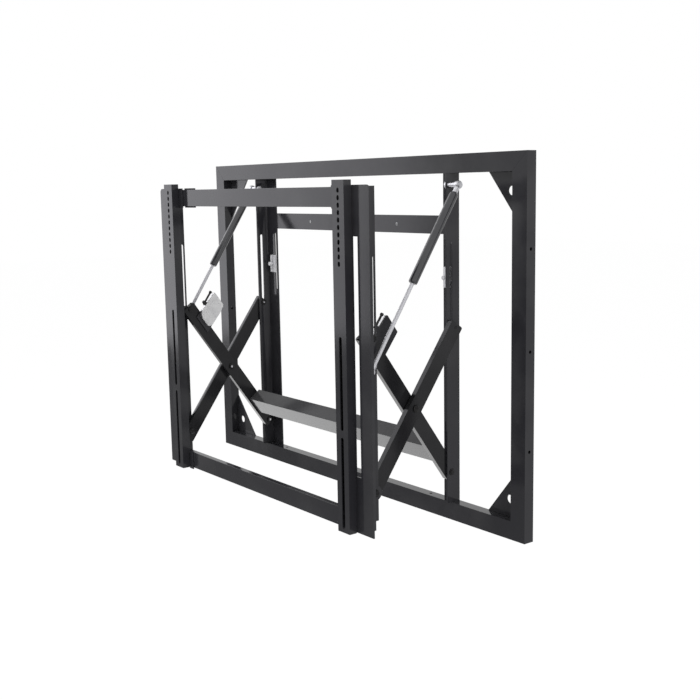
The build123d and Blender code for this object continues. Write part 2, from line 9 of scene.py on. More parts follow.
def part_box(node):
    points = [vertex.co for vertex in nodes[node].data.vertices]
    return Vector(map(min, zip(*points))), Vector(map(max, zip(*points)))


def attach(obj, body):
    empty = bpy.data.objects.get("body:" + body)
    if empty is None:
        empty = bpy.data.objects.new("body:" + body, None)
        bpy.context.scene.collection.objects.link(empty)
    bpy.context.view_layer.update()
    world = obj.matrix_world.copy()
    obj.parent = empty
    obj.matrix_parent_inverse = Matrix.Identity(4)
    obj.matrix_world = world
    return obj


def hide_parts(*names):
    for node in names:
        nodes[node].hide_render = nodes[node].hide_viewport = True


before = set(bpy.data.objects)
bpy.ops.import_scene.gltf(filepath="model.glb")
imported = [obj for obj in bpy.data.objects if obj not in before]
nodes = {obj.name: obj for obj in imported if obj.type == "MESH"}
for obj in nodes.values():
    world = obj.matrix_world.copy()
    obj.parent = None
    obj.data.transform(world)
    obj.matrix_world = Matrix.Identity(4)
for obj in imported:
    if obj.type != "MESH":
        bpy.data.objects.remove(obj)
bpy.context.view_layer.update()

# The camera looks down a little from the front right, at the height of the upper wall bolts. Its place
# and its lens were fitted to the long straight edges in the photograph.
CAMERA_AT = Vector((1.7398, -1.3518, 0.2841))
CAMERA_TURN = radians(52.416)
CAMERA_DOWN = radians(8.70)
CAMERA_ROLL = radians(-1.03)
CAMERA_LENS = 54.33
CAMERA_SENSOR = 36
CAMERA_NEAR = 0.05

forward = Vector((-sin(CAMERA_TURN) * cos(CAMERA_DOWN),
                  cos(CAMERA_TURN) * cos(CAMERA_DOWN),
                  -sin(CAMERA_DOWN)))
level_right = Vector((cos(CAMERA_TURN), sin(CAMERA_TURN), 0))
level_up = level_right.cross(forward)
rolled_right = level_right * cos(CAMERA_ROLL) + level_up * sin(CAMERA_ROLL)
rolled_up = level_up * cos(CAMERA_ROLL) - level_right * sin(CAMERA_ROLL)
camera_turn = Matrix((rolled_right, rolled_up, -forward)).transposed()
camera_data = bpy.data.cameras.new("camera")
camera_data.lens = CAMERA_LENS
camera_data.sensor_width = CAMERA_SENSOR
camera_data.clip_start = CAMERA_NEAR
camera = bpy.data.objects.new("camera", camera_data)
camera.matrix_world = Matrix.Translation(CAMERA_AT) @ camera_turn.to_4x4()
bpy.context.scene.collection.objects.link(camera)
bpy.context.scene.camera = camera
bpy.context.scene.view_settings.view_transform = "Standard"

# The studio is a white room with a pale floor well below the mount, which hangs as if on a wall. A tall
# soft panel at the front left is what the glossy paint mirrors. The floor has a painted pool of light below
# the mount and a painted glow that grows towards the wall, and only mirrored rays see them.
ROOM_LIGHT = 0.70
ROOM_SEEN_MORE = 0.30
FLOOR_Z = -0.80
FLOOR_SIZE = 30.0
FLOOR_COLOUR = (0.85, 0.85, 0.85, 1)
FLOOR_WHITE_SHARE = 0.9
FLOOR_SEEN_GLOW = 1.04
FLOOR_FRONT_Y = -1.0
FLOOR_FRONT_GLOW = 0.37
FLOOR_WALL_Y = 0.4
FLOOR_WALL_GLOW = 0.82
PAINTED_POOL_CENTRE = (-0.6, 0.15, FLOOR_Z)
PAINTED_POOL_SIZE = 1.1
PAINTED_POOL_GLOW = 2.4
PANEL_DISTANCE = 5.8
PANEL_HEIGHT = 5.4
PANEL_EDGE = radians(46.9)
PANEL_END = radians(84.0)
PANEL_STEPS = 24
PANEL_NEAR_GLOW = 2.35
PANEL_FAR = radians(64.0)
PANEL_FAR_GLOW = 2.85
LIGHT_COLOUR = (0.965, 0.96, 1.0)
LAMP_SIZE = 2.0
LAMP_AIM = Vector((0, -0.1, 0))
KEY_PLACE = (-1.2, -3.0, 2.6)
KEY_POWER = 60
FILL_PLACE = (3.2, -0.8, 1.2)
FILL_POWER = 40


def node_tree(owner):
    """The empty shader tree of a material or of the world."""
    owner.use_nodes = True
    tree = owner.node_tree
    tree.nodes.clear()
    return tree


def add_node(tree, kind, **settings):
    """A new shader node with its settings."""
    node = tree.nodes.new(kind)
    for key, value in settings.items():
        setattr(node, key, value)
    return node


def maths(tree, operation, *values):
    """A Math node whose inputs are sockets or plain numbers."""
    node = add_node(tree, "ShaderNodeMath", operation=operation)
    for socket, value in zip(node.inputs, values):
        if isinstance(value, (int, float)):
            socket.default_value = value
        else:
            tree.links.new(value, socket)
    return node.outputs[0]


def spread(tree, value, low, high, at_low, at_high, **settings):
    """The value between two marks, drawn out between two others."""
    node = add_node(tree, "ShaderNodeMapRange", **settings)
    for socket, number in zip(node.inputs[1:5], (low, high, at_low, at_high)):
        socket.default_value = number
    tree.links.new(value, node.inputs["Value"])
    return node.outputs[0]


def shown(tree, shader, kind="ShaderNodeOutputMaterial"):
    """Sends a shader's result out as the surface."""
    output = add_node(tree, kind)
    tree.links.new(shader.outputs[0], output.inputs["Surface"])


def seen_as_backdrop(tree):
    """1 for rays from the camera and for rays that metal, paint or glass send on."""
    rays = add_node(tree, "ShaderNodeLightPath")
    seen = maths(tree, "MAXIMUM", rays.outputs["Is Camera Ray"], rays.outputs["Is Glossy Ray"])
    return maths(tree, "MAXIMUM", seen, rays.outputs["Is Transmission Ray"])


def finished_object(bm, name, material):
    """An object of the finished shape, with its place in its mesh."""
    mesh = bpy.data.meshes.new(name)
    bm.to_mesh(mesh)
    bm.free()
    mesh.materials.append(material)
    piece = bpy.data.objects.new(name, mesh)
    bpy.context.scene.collection.objects.link(piece)
    return piece


def white_room():
    """The world: plain white where it is seen or mirrored, and a little darker as light."""
    world = bpy.data.worlds.new("white_room")
    tree = node_tree(world)
    background = add_node(tree, "ShaderNodeBackground")
    background.inputs["Color"].default_value = (1, 1, 1, 1)
    strength = maths(tree, "MULTIPLY_ADD", seen_as_backdrop(tree), ROOM_SEEN_MORE, ROOM_LIGHT)
    tree.links.new(strength, background.inputs["Strength"])
    shown(tree, background, "ShaderNodeOutputWorld")
    bpy.context.scene.world = world


def floor_finish():
    """White to the camera; to mirrored rays a painted glow, brighter towards the wall and in a painted pool of
    light below the mount.
    """
    material = bpy.data.materials.new("pale_floor")
    tree = node_tree(material)
    place = add_node(tree, "ShaderNodeTexCoord").outputs["Object"]
    split = add_node(tree, "ShaderNodeSeparateXYZ")
    tree.links.new(place, split.inputs[0])
    # Painted light: for mirrored rays the floor glows brighter towards the wall and in a painted pool of light
    # below the mount.
    to_wall = spread(tree, split.outputs["Y"], FLOOR_FRONT_Y, FLOOR_WALL_Y, FLOOR_FRONT_GLOW, FLOOR_WALL_GLOW,
                     interpolation_type="SMOOTHSTEP")
    away = add_node(tree, "ShaderNodeVectorMath", operation="DISTANCE")
    tree.links.new(place, away.inputs[0])
    away.inputs[1].default_value = PAINTED_POOL_CENTRE
    painted_pool = spread(tree, away.outputs["Value"], PAINTED_POOL_SIZE / 2, PAINTED_POOL_SIZE, PAINTED_POOL_GLOW, 0.0,
                  interpolation_type="SMOOTHSTEP")
    camera_ray = add_node(tree, "ShaderNodeLightPath").outputs["Is Camera Ray"]
    seen = maths(tree, "MULTIPLY", camera_ray, FLOOR_SEEN_GLOW)
    other_ray = maths(tree, "SUBTRACT", 1.0, camera_ray)
    mirrored = maths(tree, "MULTIPLY", other_ray, maths(tree, "ADD", to_wall, painted_pool))
    white = add_node(tree, "ShaderNodeEmission")
    tree.links.new(maths(tree, "ADD", seen, mirrored), white.inputs["Strength"])
    matt = add_node(tree, "ShaderNodeBsdfDiffuse")
    matt.inputs["Color"].default_value = FLOOR_COLOUR
    mix = add_node(tree, "ShaderNodeMixShader")
    share = maths(tree, "MULTIPLY", seen_as_backdrop(tree), FLOOR_WHITE_SHARE)
    tree.links.new(share, mix.inputs["Fac"])
    tree.links.new(matt.outputs[0], mix.inputs[1])
    tree.links.new(white.outputs[0], mix.inputs[2])
    shown(tree, mix)
    return material


def pale_floor():
    """The floor, wide enough to fill the view from any side."""
    bm = bmesh.new()
    bmesh.ops.create_grid(bm, x_segments=1, y_segments=1, size=FLOOR_SIZE / 2)
    bmesh.ops.translate(bm, verts=bm.verts, vec=(0, 0, FLOOR_Z))
    finished_object(bm, "floor", floor_finish())


def panel_finish():
    """A glow that grows from the panel's near edge towards the left."""
    material = bpy.data.materials.new("panel_glow")
    tree = node_tree(material)
    place = add_node(tree, "ShaderNodeTexCoord")
    split = add_node(tree, "ShaderNodeSeparateXYZ")
    tree.links.new(place.outputs["Object"], split.inputs[0])
    to_left = maths(tree, "MULTIPLY", split.outputs["X"], -1.0)
    to_front = maths(tree, "MULTIPLY", split.outputs["Y"], -1.0)
    turn = maths(tree, "ARCTAN2", to_left, to_front)
    glow = add_node(tree, "ShaderNodeEmission")
    glow.inputs["Color"].default_value = (*LIGHT_COLOUR, 1)
    strength = spread(tree, turn, PANEL_EDGE, PANEL_FAR, PANEL_NEAR_GLOW, PANEL_FAR_GLOW)
    tree.links.new(strength, glow.inputs["Strength"])
    shown(tree, glow)
    return material


def soft_panel():
    """A curved panel round the front left, which only glossy surfaces see."""
    bm = bmesh.new()
    start = Vector((-sin(PANEL_EDGE), -cos(PANEL_EDGE), 0)) * PANEL_DISTANCE
    foot = bm.verts.new((start.x, start.y, FLOOR_Z))
    head = bm.verts.new((start.x, start.y, FLOOR_Z + PANEL_HEIGHT))
    edge = bm.edges.new((foot, head))
    bmesh.ops.spin(bm, geom=[foot, head, edge], cent=(0, 0, 0), axis=(0, 0, -1),
                   angle=PANEL_END - PANEL_EDGE, steps=PANEL_STEPS)
    panel = finished_object(bm, "soft_panel", panel_finish())
    panel.visible_camera = False
    panel.visible_diffuse = False


def area_lamp(name, place, power):
    """A soft square lamp that no surface mirrors."""
    data = bpy.data.lights.new(name, "AREA")
    data.size = LAMP_SIZE
    data.energy = power
    data.color = LIGHT_COLOUR
    lamp = bpy.data.objects.new(name, data)
    lamp.location = place
    lamp.rotation_euler = (LAMP_AIM - Vector(place)).to_track_quat("-Z", "Y").to_euler()
    lamp.visible_glossy = False
    bpy.context.scene.collection.objects.link(lamp)


white_room()
pale_floor()
soft_panel()
area_lamp("key_lamp", KEY_PLACE, KEY_POWER)
area_lamp("fill_lamp", FILL_PLACE, FILL_POWER)

# Most of the mount is steel under one coat of near-black gloss powder coat. It was welded first and
# coated after, so the coat runs unbroken over the corners. It has a stoved coat's faint orange peel and a
# little dust.
MM = 0.001
SIDES = ("left", "right")
GRAIN_SHARE = 0.25
CLOUD_LOW = 0.3
CLOUD_HIGH = 0.7
DUST_FROM = 0.45
DUST_TO = 0.75
DUST_DULLS = 1.6
PEEL_DEPTH = 0.2 * MM
PLATE_CORNER = 0.6 * MM
SAME_POINT = 0.01 * MM
SAME_PLANE = radians(0.6)
SHARP_EDGE = radians(35)


def group_socket(group, name, direction, kind, value=None):
    """A named input or output of a node group."""
    socket = group.interface.new_socket(name=name, in_out=direction, socket_type=kind)
    if value is not None:
        socket.default_value = value


def coat_flow_group():
    """A slow ripple with a fine grain on it as one height, and a broad cloud for dust and handling marks."""
    group = bpy.data.node_groups.new("coat_flow", "ShaderNodeTree")
    group_socket(group, "Place", "INPUT", "NodeSocketVector")
    for name, scale in (("Ripple scale", 160.0), ("Grain scale", 900.0), ("Cloud scale", 9.0)):
        group_socket(group, name, "INPUT", "NodeSocketFloat", scale)
    for name in ("Height", "Cloud"):
        group_socket(group, name, "OUTPUT", "NodeSocketFloat")
    entry = add_node(group, "NodeGroupInput")
    leave = add_node(group, "NodeGroupOutput")
    layers = {}
    for name, detail in (("Ripple scale", 1.0), ("Grain scale", 2.0), ("Cloud scale", 4.0)):
        layer = add_node(group, "ShaderNodeTexNoise")
        layer.inputs["Detail"].default_value = detail
        group.links.new(entry.outputs["Place"], layer.inputs["Vector"])
        group.links.new(entry.outputs[name], layer.inputs["Scale"])
        layers[name] = layer.outputs["Fac"]
    grain = maths(group, "MULTIPLY", layers["Grain scale"], GRAIN_SHARE)
    group.links.new(maths(group, "ADD", layers["Ripple scale"], grain), leave.inputs["Height"])
    group.links.new(layers["Cloud scale"], leave.inputs["Cloud"])
    return group


COAT_FLOW = coat_flow_group()


def blend_colours(tree, share, first, second):
    """One colour going over into another as the share goes from 0 to 1."""
    node = add_node(tree, "ShaderNodeMix", data_type="RGBA")
    node.inputs["A"].default_value = first
    node.inputs["B"].default_value = second
    tree.links.new(share, node.inputs["Factor"])
    return node.outputs["Result"]


def finish(name, colours, marks, roughness, relief, scales, plain):
    """A surface that the broad cloud tints and dulls, with the fine height as its relief.

    Colours and roughness are given outside and inside the cloud's marks, and the relief as strength and depth.
    """
    material = bpy.data.materials.new(name)
    tree = node_tree(material)
    place = add_node(tree, "ShaderNodeTexCoord")
    flow = add_node(tree, "ShaderNodeGroup", node_tree=COAT_FLOW)
    tree.links.new(place.outputs["Object"], flow.inputs["Place"])
    for socket, scale in scales.items():
        flow.inputs[socket].default_value = scale
    cloud = flow.outputs["Cloud"]
    shader = add_node(tree, "ShaderNodeBsdfPrincipled")
    for socket, value in plain.items():
        shader.inputs[socket].default_value = value
    share = spread(tree, cloud, *marks, 0.0, 1.0)
    tree.links.new(blend_colours(tree, share, *colours), shader.inputs["Base Color"])
    tree.links.new(spread(tree, cloud, CLOUD_LOW, CLOUD_HIGH, *roughness), shader.inputs["Roughness"])
    bump = add_node(tree, "ShaderNodeBump")
    for socket, value in zip(("Strength", "Distance"), relief):
        bump.inputs[socket].default_value = value
    tree.links.new(flow.outputs["Height"], bump.inputs["Height"])
    tree.links.new(bump.outputs["Normal"], shader.inputs["Normal"])
    shown(tree, shader)
    return material


def coated(name, colour, dusty, roughness, specular, peel):
    """Paint: a dark body under a gloss skin, with orange peel and dust."""
    return finish(name, (colour, dusty), (DUST_FROM, DUST_TO), (roughness, roughness * DUST_DULLS),
                  (peel, PEEL_DEPTH), {}, {"Specular IOR Level": specular})


POWDER_COAT = coated("powder_coat", colour=(0.0205, 0.0203, 0.0232, 1), dusty=(0.034, 0.034, 0.036, 1),
                     roughness=0.09, specular=0.27, peel=0.06)


def soften_edges(piece, width):
    """Welds the loose triangles, makes each flat side one face, and rounds the sharp edges."""
    weld = piece.modifiers.new("weld", "WELD")
    weld.merge_threshold = SAME_POINT
    flat = piece.modifiers.new("flat_sides", "DECIMATE")
    flat.decimate_type = "DISSOLVE"
    flat.angle_limit = SAME_PLANE
    bevel = piece.modifiers.new("edges", "BEVEL")
    bevel.width = width
    bevel.segments = 2
    bevel.limit_method = "ANGLE"
    bevel.angle_limit = SHARP_EDGE
    bevel.harden_normals = True
    bevel.use_clamp_overlap = True


def dress(node, material, edge=PLATE_CORNER):
    """Gives a carried-over piece its finish and its small edge radius."""
    piece = nodes[node]
    piece.data.materials.clear()
    piece.data.materials.append(material)
    soften_edges(piece, edge)


def sides(*names):
    """The names of the left and the right piece of each kind."""
    return [f"{name}_{side}" for name in names for side in SIDES]


# The wall frame is four lengths of square-cornered steel tube, mitred and welded, with a plate gusset
# welded into each corner for the wall bolts. The welds are ground flush, so the mitres hardly show.
TUBE_CORNER = 0.35 * MM
for node in ["frame_top", "frame_bottom"] + sides("frame_side"):
    dress(node, POWDER_COAT, TUBE_CORNER)
for node in sides("gusset_top", "gusset_bottom"):
    dress(node, POWDER_COAT)

# Two folded steel angles are welded upright between the top and bottom tubes, and a flat bar joins them
# near their tops. Laser-cut slots in them guide the linkage and the strikes.
for node in ["cross_bar"] + sides("wall_upright"):
    dress(node, POWDER_COAT)

# Two small zinc-plated pan-head screws hold the cross bar. Each has a cross recess pressed into its head. The
# recess
# is not cut here: a dark cross standing just proud of the head stands for it, and its colour is painted shade.
# These and all later fittings are drawn in millimetres.
SMUDGE_FROM = 0.35
SMUDGE_TO = 0.7
GRAIN_DEPTH = 0.1 * MM
WELD_GAP = 0.001 * MM
CREASE = radians(32)
SCREW_X = 145.5
SCREW_Z = 213.75
BAR_FRONT = -3.0
PAN_HEAD = [(1.9, 0), (1.8, 1.2), (1.5, 2.2), (0.9, 3.0), (0.3, 3.3), (0, 3.2), (0, 2.5), (-2.6, 2.4),
            (-2.6, 0)]
RECESS_FRONT = -4.93
RECESS_BACK = -4.5
RECESS_LONG = 1.3
RECESS_WIDE = 0.3


def metal(name, colour, smudged, roughness, cloud_scale, grain, marks=0.12, relief=0.08, metallic=1.0):
    """Bare or plated steel: a cloudy sheen with fine machining grain."""
    return finish(name, (colour, smudged), (SMUDGE_FROM, SMUDGE_TO), (roughness, roughness + marks),
                  (relief, GRAIN_DEPTH),
                  {"Ripple scale": grain, "Grain scale": grain * 3, "Cloud scale": cloud_scale},
                  {"Metallic": metallic})


def turned(profile, start, direction, steps=48, closed=False):
    """A lathe-turned shape: distances along an axis and radii, spun about the axis."""
    bm = bmesh.new()
    points = [bm.verts.new((radius * MM, 0, along * MM)) for along, radius in profile]
    pairs = list(zip(points, points[1:]))
    if closed:
        pairs.append((points[-1], points[0]))
    edges = [bm.edges.new(pair) for pair in pairs]
    bmesh.ops.spin(bm, geom=points + edges, cent=(0, 0, 0), axis=(0, 0, 1), angle=2 * pi, steps=steps,
                   use_merge=True)
    bmesh.ops.remove_doubles(bm, verts=bm.verts, dist=WELD_GAP)
    turn = Vector((0, 0, 1)).rotation_difference(Vector(direction)).to_matrix().to_4x4()
    bmesh.ops.transform(bm, matrix=Matrix.Translation(Vector(start) * MM) @ turn, verts=bm.verts)
    return bm


def block(low, high):
    """A plate or block between two corners."""
    bm = bmesh.new()
    middle = (Vector(low) + Vector(high)) / 2 * MM
    size = (Vector(high) - Vector(low)) * MM
    bmesh.ops.create_cube(bm, size=1.0, matrix=Matrix.Translation(middle) @ Matrix.Diagonal(size.to_4d()))
    return bm


def joined(*shapes):
    """One mesh from several shapes."""
    whole = shapes[0]
    for shape in shapes[1:]:
        mesh = bpy.data.meshes.new("part")
        shape.to_mesh(mesh)
        shape.free()
        whole.from_mesh(mesh)
        bpy.data.meshes.remove(mesh)
    return whole


def fitted(bm, name, material, body, stands_for=(), side="right"):
    """Makes the finished piece, mirrored for the left side, and lets it ride on its body."""
    if side == "left":
        bmesh.ops.scale(bm, vec=(-1, 1, 1), verts=bm.verts)
    bmesh.ops.remove_doubles(bm, verts=bm.verts, dist=WELD_GAP)
    bmesh.ops.recalc_face_normals(bm, faces=bm.faces)
    for face in bm.faces:
        face.smooth = True
    for edge in bm.edges:
        edge.smooth = edge.is_manifold and edge.calc_face_angle() < CREASE
    piece = finished_object(bm, name, material)
    flatten = piece.modifiers.new("flat_sides_first", "WEIGHTED_NORMAL")
    flatten.keep_sharp = True
    flatten.weight = 100
    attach(piece, body)
    if stands_for:
        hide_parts(*stands_for)


DULL_ZINC = metal("dull_zinc", colour=(0.42, 0.42, 0.43, 1), smudged=(0.3, 0.3, 0.31, 1), roughness=0.45,
                  cloud_scale=80.0, grain=700.0, metallic=0.5)
# Painted shade: each dark cross is a thin block whose colour stands for the shade inside a screw's cross
# recess.
PAINTED_RECESS_SHADE = metal("painted_recess_shade", colour=(0.05, 0.05, 0.05, 1), smudged=(0.03, 0.03, 0.03, 1),
                    roughness=0.5, cloud_scale=60.0, grain=700.0)
screws = []
recess_shades = []
for x in (-SCREW_X, SCREW_X):
    screws.append(turned(PAN_HEAD, (x, BAR_FRONT, SCREW_Z), (0, -1, 0), steps=32))
    for half_x, half_z in ((RECESS_WIDE, RECESS_LONG), (RECESS_LONG, RECESS_WIDE)):
        recess_shades.append(block((x - half_x, RECESS_FRONT, SCREW_Z - half_z),
                              (x + half_x, RECESS_BACK, SCREW_Z + half_z)))
fitted(joined(*screws), "cross_bar_pan_heads", DULL_ZINC, "wall_frame", ["cross_bar_screws"])
fitted(joined(*recess_shades), "cross_bar_painted_recess_shades", PAINTED_RECESS_SHADE, "wall_frame")

# Each strike is a zinc-plated plate with two raised ribs and a headed peg between them, which the latch
# catches. A bolt through its back clamps it at any height on the slot in the upright.
STRIKE_ZINC = metal("strike_zinc", colour=(0.66, 0.66, 0.67, 1), smudged=(0.56, 0.56, 0.58, 1),
                    roughness=0.5, cloud_scale=60.0, grain=700.0, relief=0.03, metallic=0.25)
STRIKE_PLATE = 2.2
STRIKE_CORNER = 1.4
RIB_WIDTH = 6.0
RIB_HEIGHT = 2.6
RIB_SUNK = 0.2
RIB_SHORTER = 0.3
RIB_CORNER = 0.7
PEG_R = 3.0
PEG_HEAD_R = 4.2
PEG_SUNK = 0.5
PARALLEL = 0.999


def rounded(bm, edges, radius, segments=3):
    """The shape with some of its edges rounded over."""
    bmesh.ops.bevel(bm, geom=list(edges), offset=radius * MM, offset_type="OFFSET", segments=segments,
                    profile=0.5, affect="EDGES", material=-1)
    return bm


def edges_along(bm, axis):
    """The edges that run along a direction."""
    along = []
    for edge in bm.edges:
        run = (edge.verts[0].co - edge.verts[1].co).normalized()
        if abs(run.dot(axis)) > PARALLEL:
            along.append(edge)
    return along


def stand_in(bm, name, node, material, body, side):
    """Fits a piece that shows a CAD node of its side in more detail."""
    fitted(bm, f"{name}_{side}", material, body, [f"{node}_{side}"], side)


strike_low, strike_high = (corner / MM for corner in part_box("strike_right"))
plate_front = strike_high.y - STRIKE_PLATE
reach = plate_front - strike_low.y
peg_profile = [(-PEG_SUNK, 0), (-PEG_SUNK, PEG_R), (reach, PEG_R), (reach + 0.6, PEG_HEAD_R),
               (reach + 2.8, PEG_HEAD_R), (reach + 3.5, 3.2), (reach + 3.5, 0)]
peg_foot = ((strike_low.x + strike_high.x) / 2, plate_front, (strike_low.z + strike_high.z) / 2)
for side in SIDES:
    plate = block((strike_low.x, plate_front, strike_low.z), strike_high)
    rounded(plate, edges_along(plate, Vector((0, 1, 0))), STRIKE_CORNER)
    stand_in(plate, "strike_plate", "strike", STRIKE_ZINC, "wall_frame", side)
    raised = []
    for x in (strike_low.x, strike_high.x - RIB_WIDTH):
        rib = block((x, plate_front - RIB_HEIGHT, strike_low.z + RIB_SHORTER),
                    (x + RIB_WIDTH, plate_front + RIB_SUNK, strike_high.z - RIB_SHORTER))
        raised.append(rounded(rib, rib.edges, RIB_CORNER))
    raised.append(turned(peg_profile, peg_foot, (0, -1, 0), steps=32))
    fitted(joined(*raised), f"strike_ribs_{side}", STRIKE_ZINC, "wall_frame", side=side)

# The linkage turns on blackened steel pins. Each has a turned head or a hex nut on its ends. A small bright
# zinc dish set in three of the heads is a painted highlight, standing for the glint on the head. Washers keep
# the bars off the uprights and off each other.
BLACK_STEEL = metal("black_steel", colour=(0.024, 0.024, 0.026, 1), smudged=(0.042, 0.041, 0.04, 1),
                    roughness=0.32, cloud_scale=45.0, grain=900.0)
ZINC = metal("zinc_plate", colour=(0.66, 0.66, 0.68, 1), smudged=(0.52, 0.52, 0.55, 1), roughness=0.30,
             cloud_scale=60.0, grain=700.0)
# The two faces of each layer that the pins go through, as distances from the middle of the mount.
ARM_IN = 304.0
ARM_OUT = 314.5
ANGLE_IN = 315.6
ANGLE_OUT = 318.6
OUTER_IN = 320.0
OUTER_OUT = 330.5
FLANGE_IN = 331.9
FLANGE_OUT = 334.4
WALL_FOOT = (-20.5, -249.0)
FRONT_FOOT = (-218.5, -249.0)
CROSSING = (-119.5, -111.0)
FRONT_HEAD = (-218.5, 27.0)
WALL_HEAD = (-20.5, 27.0)
PIN_R = 4.0
SLIDER_R = 3.0
WASHER_R = 7.0
COLLAR_R = 5.0
SLIDE_HEAD_R = 6.0
HEAD_THICK = 2.4
FOOT_HEAD_THICK = 1.8
WALL_NUT_THICK = 1.1
FRONT_NUT_THICK = 2.4
PLAY = 0.3
THREAD_R = PIN_R - 0.3
NUT_CORNER = 0.35
OUTER_END = OUTER_OUT + PLAY
FLANGE_END = FLANGE_OUT + PLAY


def round_pin(place, steps):
    """A turned pin along X from pairs of a distance from the middle of the mount and a radius."""
    first = steps[0][0]
    last = steps[-1][0]
    return turned([(first, 0), *steps, (last, 0)], (0, *place), (1, 0, 0))


def button(x, radius, thick):
    """A turned head from its outer face at x, with a rim that is rounded over."""
    return [(x + 0.25, radius * 0.45), (x, radius * 0.5), (x + 0.1, radius * 0.78), (x + 0.6, radius * 0.95),
            (x + 1.2, radius), (x + thick, radius)]


def hex_nut(place, x0, x1, corner_r, stud_r):
    """A hex nut with chamfered corners, on the end of a stud that stands a little out of it."""
    bm = bmesh.new()
    turn = Matrix.Rotation(pi / 2, 4, "Y")
    middle = Matrix.Translation(Vector(((x0 + x1) / 2, *place)) * MM)
    bmesh.ops.create_cone(bm, cap_ends=True, segments=6, radius1=corner_r * MM, radius2=corner_r * MM,
                          depth=(x1 - x0) * MM, matrix=middle @ turn)
    rounded(bm, bm.edges, NUT_CORNER, segments=2)
    stud = turned([(0, 0), (0, stud_r), (0.9, stud_r), (1.3, stud_r - 0.5), (1.3, 0)], (x1 - 0.2, *place),
                  (1, 0, 0))
    return joined(bm, stud)


def black_pin(bm, name, node, body, side):
    """Fits a pin of the linkage."""
    stand_in(bm, name, node, BLACK_STEEL, body, side)


def painted_glint(place, x, name, body, side):
    """Fits a painted highlight: a small bright zinc dish in a pin's head, facing the middle of the mount."""
    dish = turned([(0.5, 0), (0.5, 2.2), (0.0, 2.4), (-0.25, 2.1), (-0.1, 1.0), (0.1, 0)], (x, *place),
                  (1, 0, 0), steps=28)
    fitted(dish, f"{name}_{side}", ZINC, body, side=side)


for side in SIDES:
    outer_arm = f"outer_arm_{side}"

    head = ARM_IN - PLAY - HEAD_THICK
    pin = round_pin(WALL_FOOT, button(head, WASHER_R, HEAD_THICK) + [
        (ARM_IN - PLAY, PIN_R), (ARM_OUT + PLAY, PIN_R), (ARM_OUT + PLAY, WASHER_R), (ANGLE_IN, WASHER_R),
        (ANGLE_IN, PIN_R), (ANGLE_OUT, PIN_R)])
    nut = hex_nut(WALL_FOOT, ANGLE_OUT, ANGLE_OUT + WALL_NUT_THICK, WASHER_R, THREAD_R)
    black_pin(joined(pin, nut), "wall_pin", "wall_pivot", "wall_frame", side)
    painted_glint(WALL_FOOT, head, "wall_pin_glint", "wall_frame", side)

    head = ARM_IN - HEAD_THICK
    pin = round_pin(CROSSING, button(head, WASHER_R, HEAD_THICK) + [
        (ARM_IN, PIN_R), (ARM_OUT, PIN_R), (ARM_OUT, COLLAR_R), (OUTER_IN - PLAY, COLLAR_R),
        (OUTER_IN - PLAY, PIN_R), (OUTER_END, PIN_R), (OUTER_END, WASHER_R), (OUTER_END + 1.2, WASHER_R),
        (OUTER_END + 1.8, 6.7), (OUTER_END + 2.3, 5.6), (OUTER_END + 2.4, 3.4), (OUTER_END + 2.1, 3.0)])
    black_pin(pin, "crossing_pin", "cross_pivot", "inner_arms", side)
    painted_glint(CROSSING, head, "crossing_pin_glint", "inner_arms", side)

    pin = round_pin(FRONT_HEAD, button(head, SLIDE_HEAD_R, HEAD_THICK) + [
        (ARM_IN, SLIDER_R), (FLANGE_END, SLIDER_R), (FLANGE_END, SLIDE_HEAD_R),
        (FLANGE_END + 1.0, SLIDE_HEAD_R), (FLANGE_END + 1.5, 5.5), (FLANGE_END + 1.8, 4.5),
        (FLANGE_END + 1.6, 2.6)])
    black_pin(pin, "front_slide_pin", "front_slider", "inner_arms", side)

    head = ANGLE_IN - PLAY - HEAD_THICK
    pin = round_pin(WALL_HEAD, button(head, SLIDE_HEAD_R, HEAD_THICK) + [
        (ANGLE_IN - PLAY, SLIDER_R), (OUTER_OUT, SLIDER_R)])
    black_pin(pin, "wall_slide_pin", "rear_slider", outer_arm, side)
    painted_glint(WALL_HEAD, head, "wall_slide_pin_glint", outer_arm, side)

    head = OUTER_IN - FOOT_HEAD_THICK
    pin = round_pin(FRONT_FOOT, button(head, WASHER_R, FOOT_HEAD_THICK) + [
        (OUTER_IN, PIN_R), (OUTER_OUT, PIN_R), (OUTER_OUT, COLLAR_R), (FLANGE_IN - PLAY, COLLAR_R),
        (FLANGE_IN - PLAY, PIN_R), (FLANGE_END, PIN_R)])
    nut = hex_nut(FRONT_FOOT, FLANGE_END, FLANGE_END + FRONT_NUT_THICK, WASHER_R, THREAD_R)
    black_pin(joined(pin, nut), "front_pin", "front_pivot", outer_arm, side)

# The scissor's four bars are sawn flat steel with slightly rounded corners. An angle welded between the
# two inner ones keeps both sides in step. The bars are drawn with a darker copy of the coat and the angle
# with a paler one, set to how dark each looks.
ARM_BLACK = coated("arm_black", colour=(0.011, 0.011, 0.012, 1), dusty=(0.02, 0.02, 0.021, 1),
                   roughness=0.12, specular=0.22, peel=0.08)
TIE_COAT = coated("tie_bar_coat", colour=(0.055, 0.055, 0.057, 1), dusty=(0.07, 0.07, 0.072, 1),
                  roughness=0.1, specular=0.14, peel=0.08)
ARM_CORNER = 0.8 * MM
dress("tie_bar", TIE_COAT, ARM_CORNER)
for node in sides("inner_arm", "outer_arm"):
    dress(node, ARM_BLACK, ARM_CORNER)

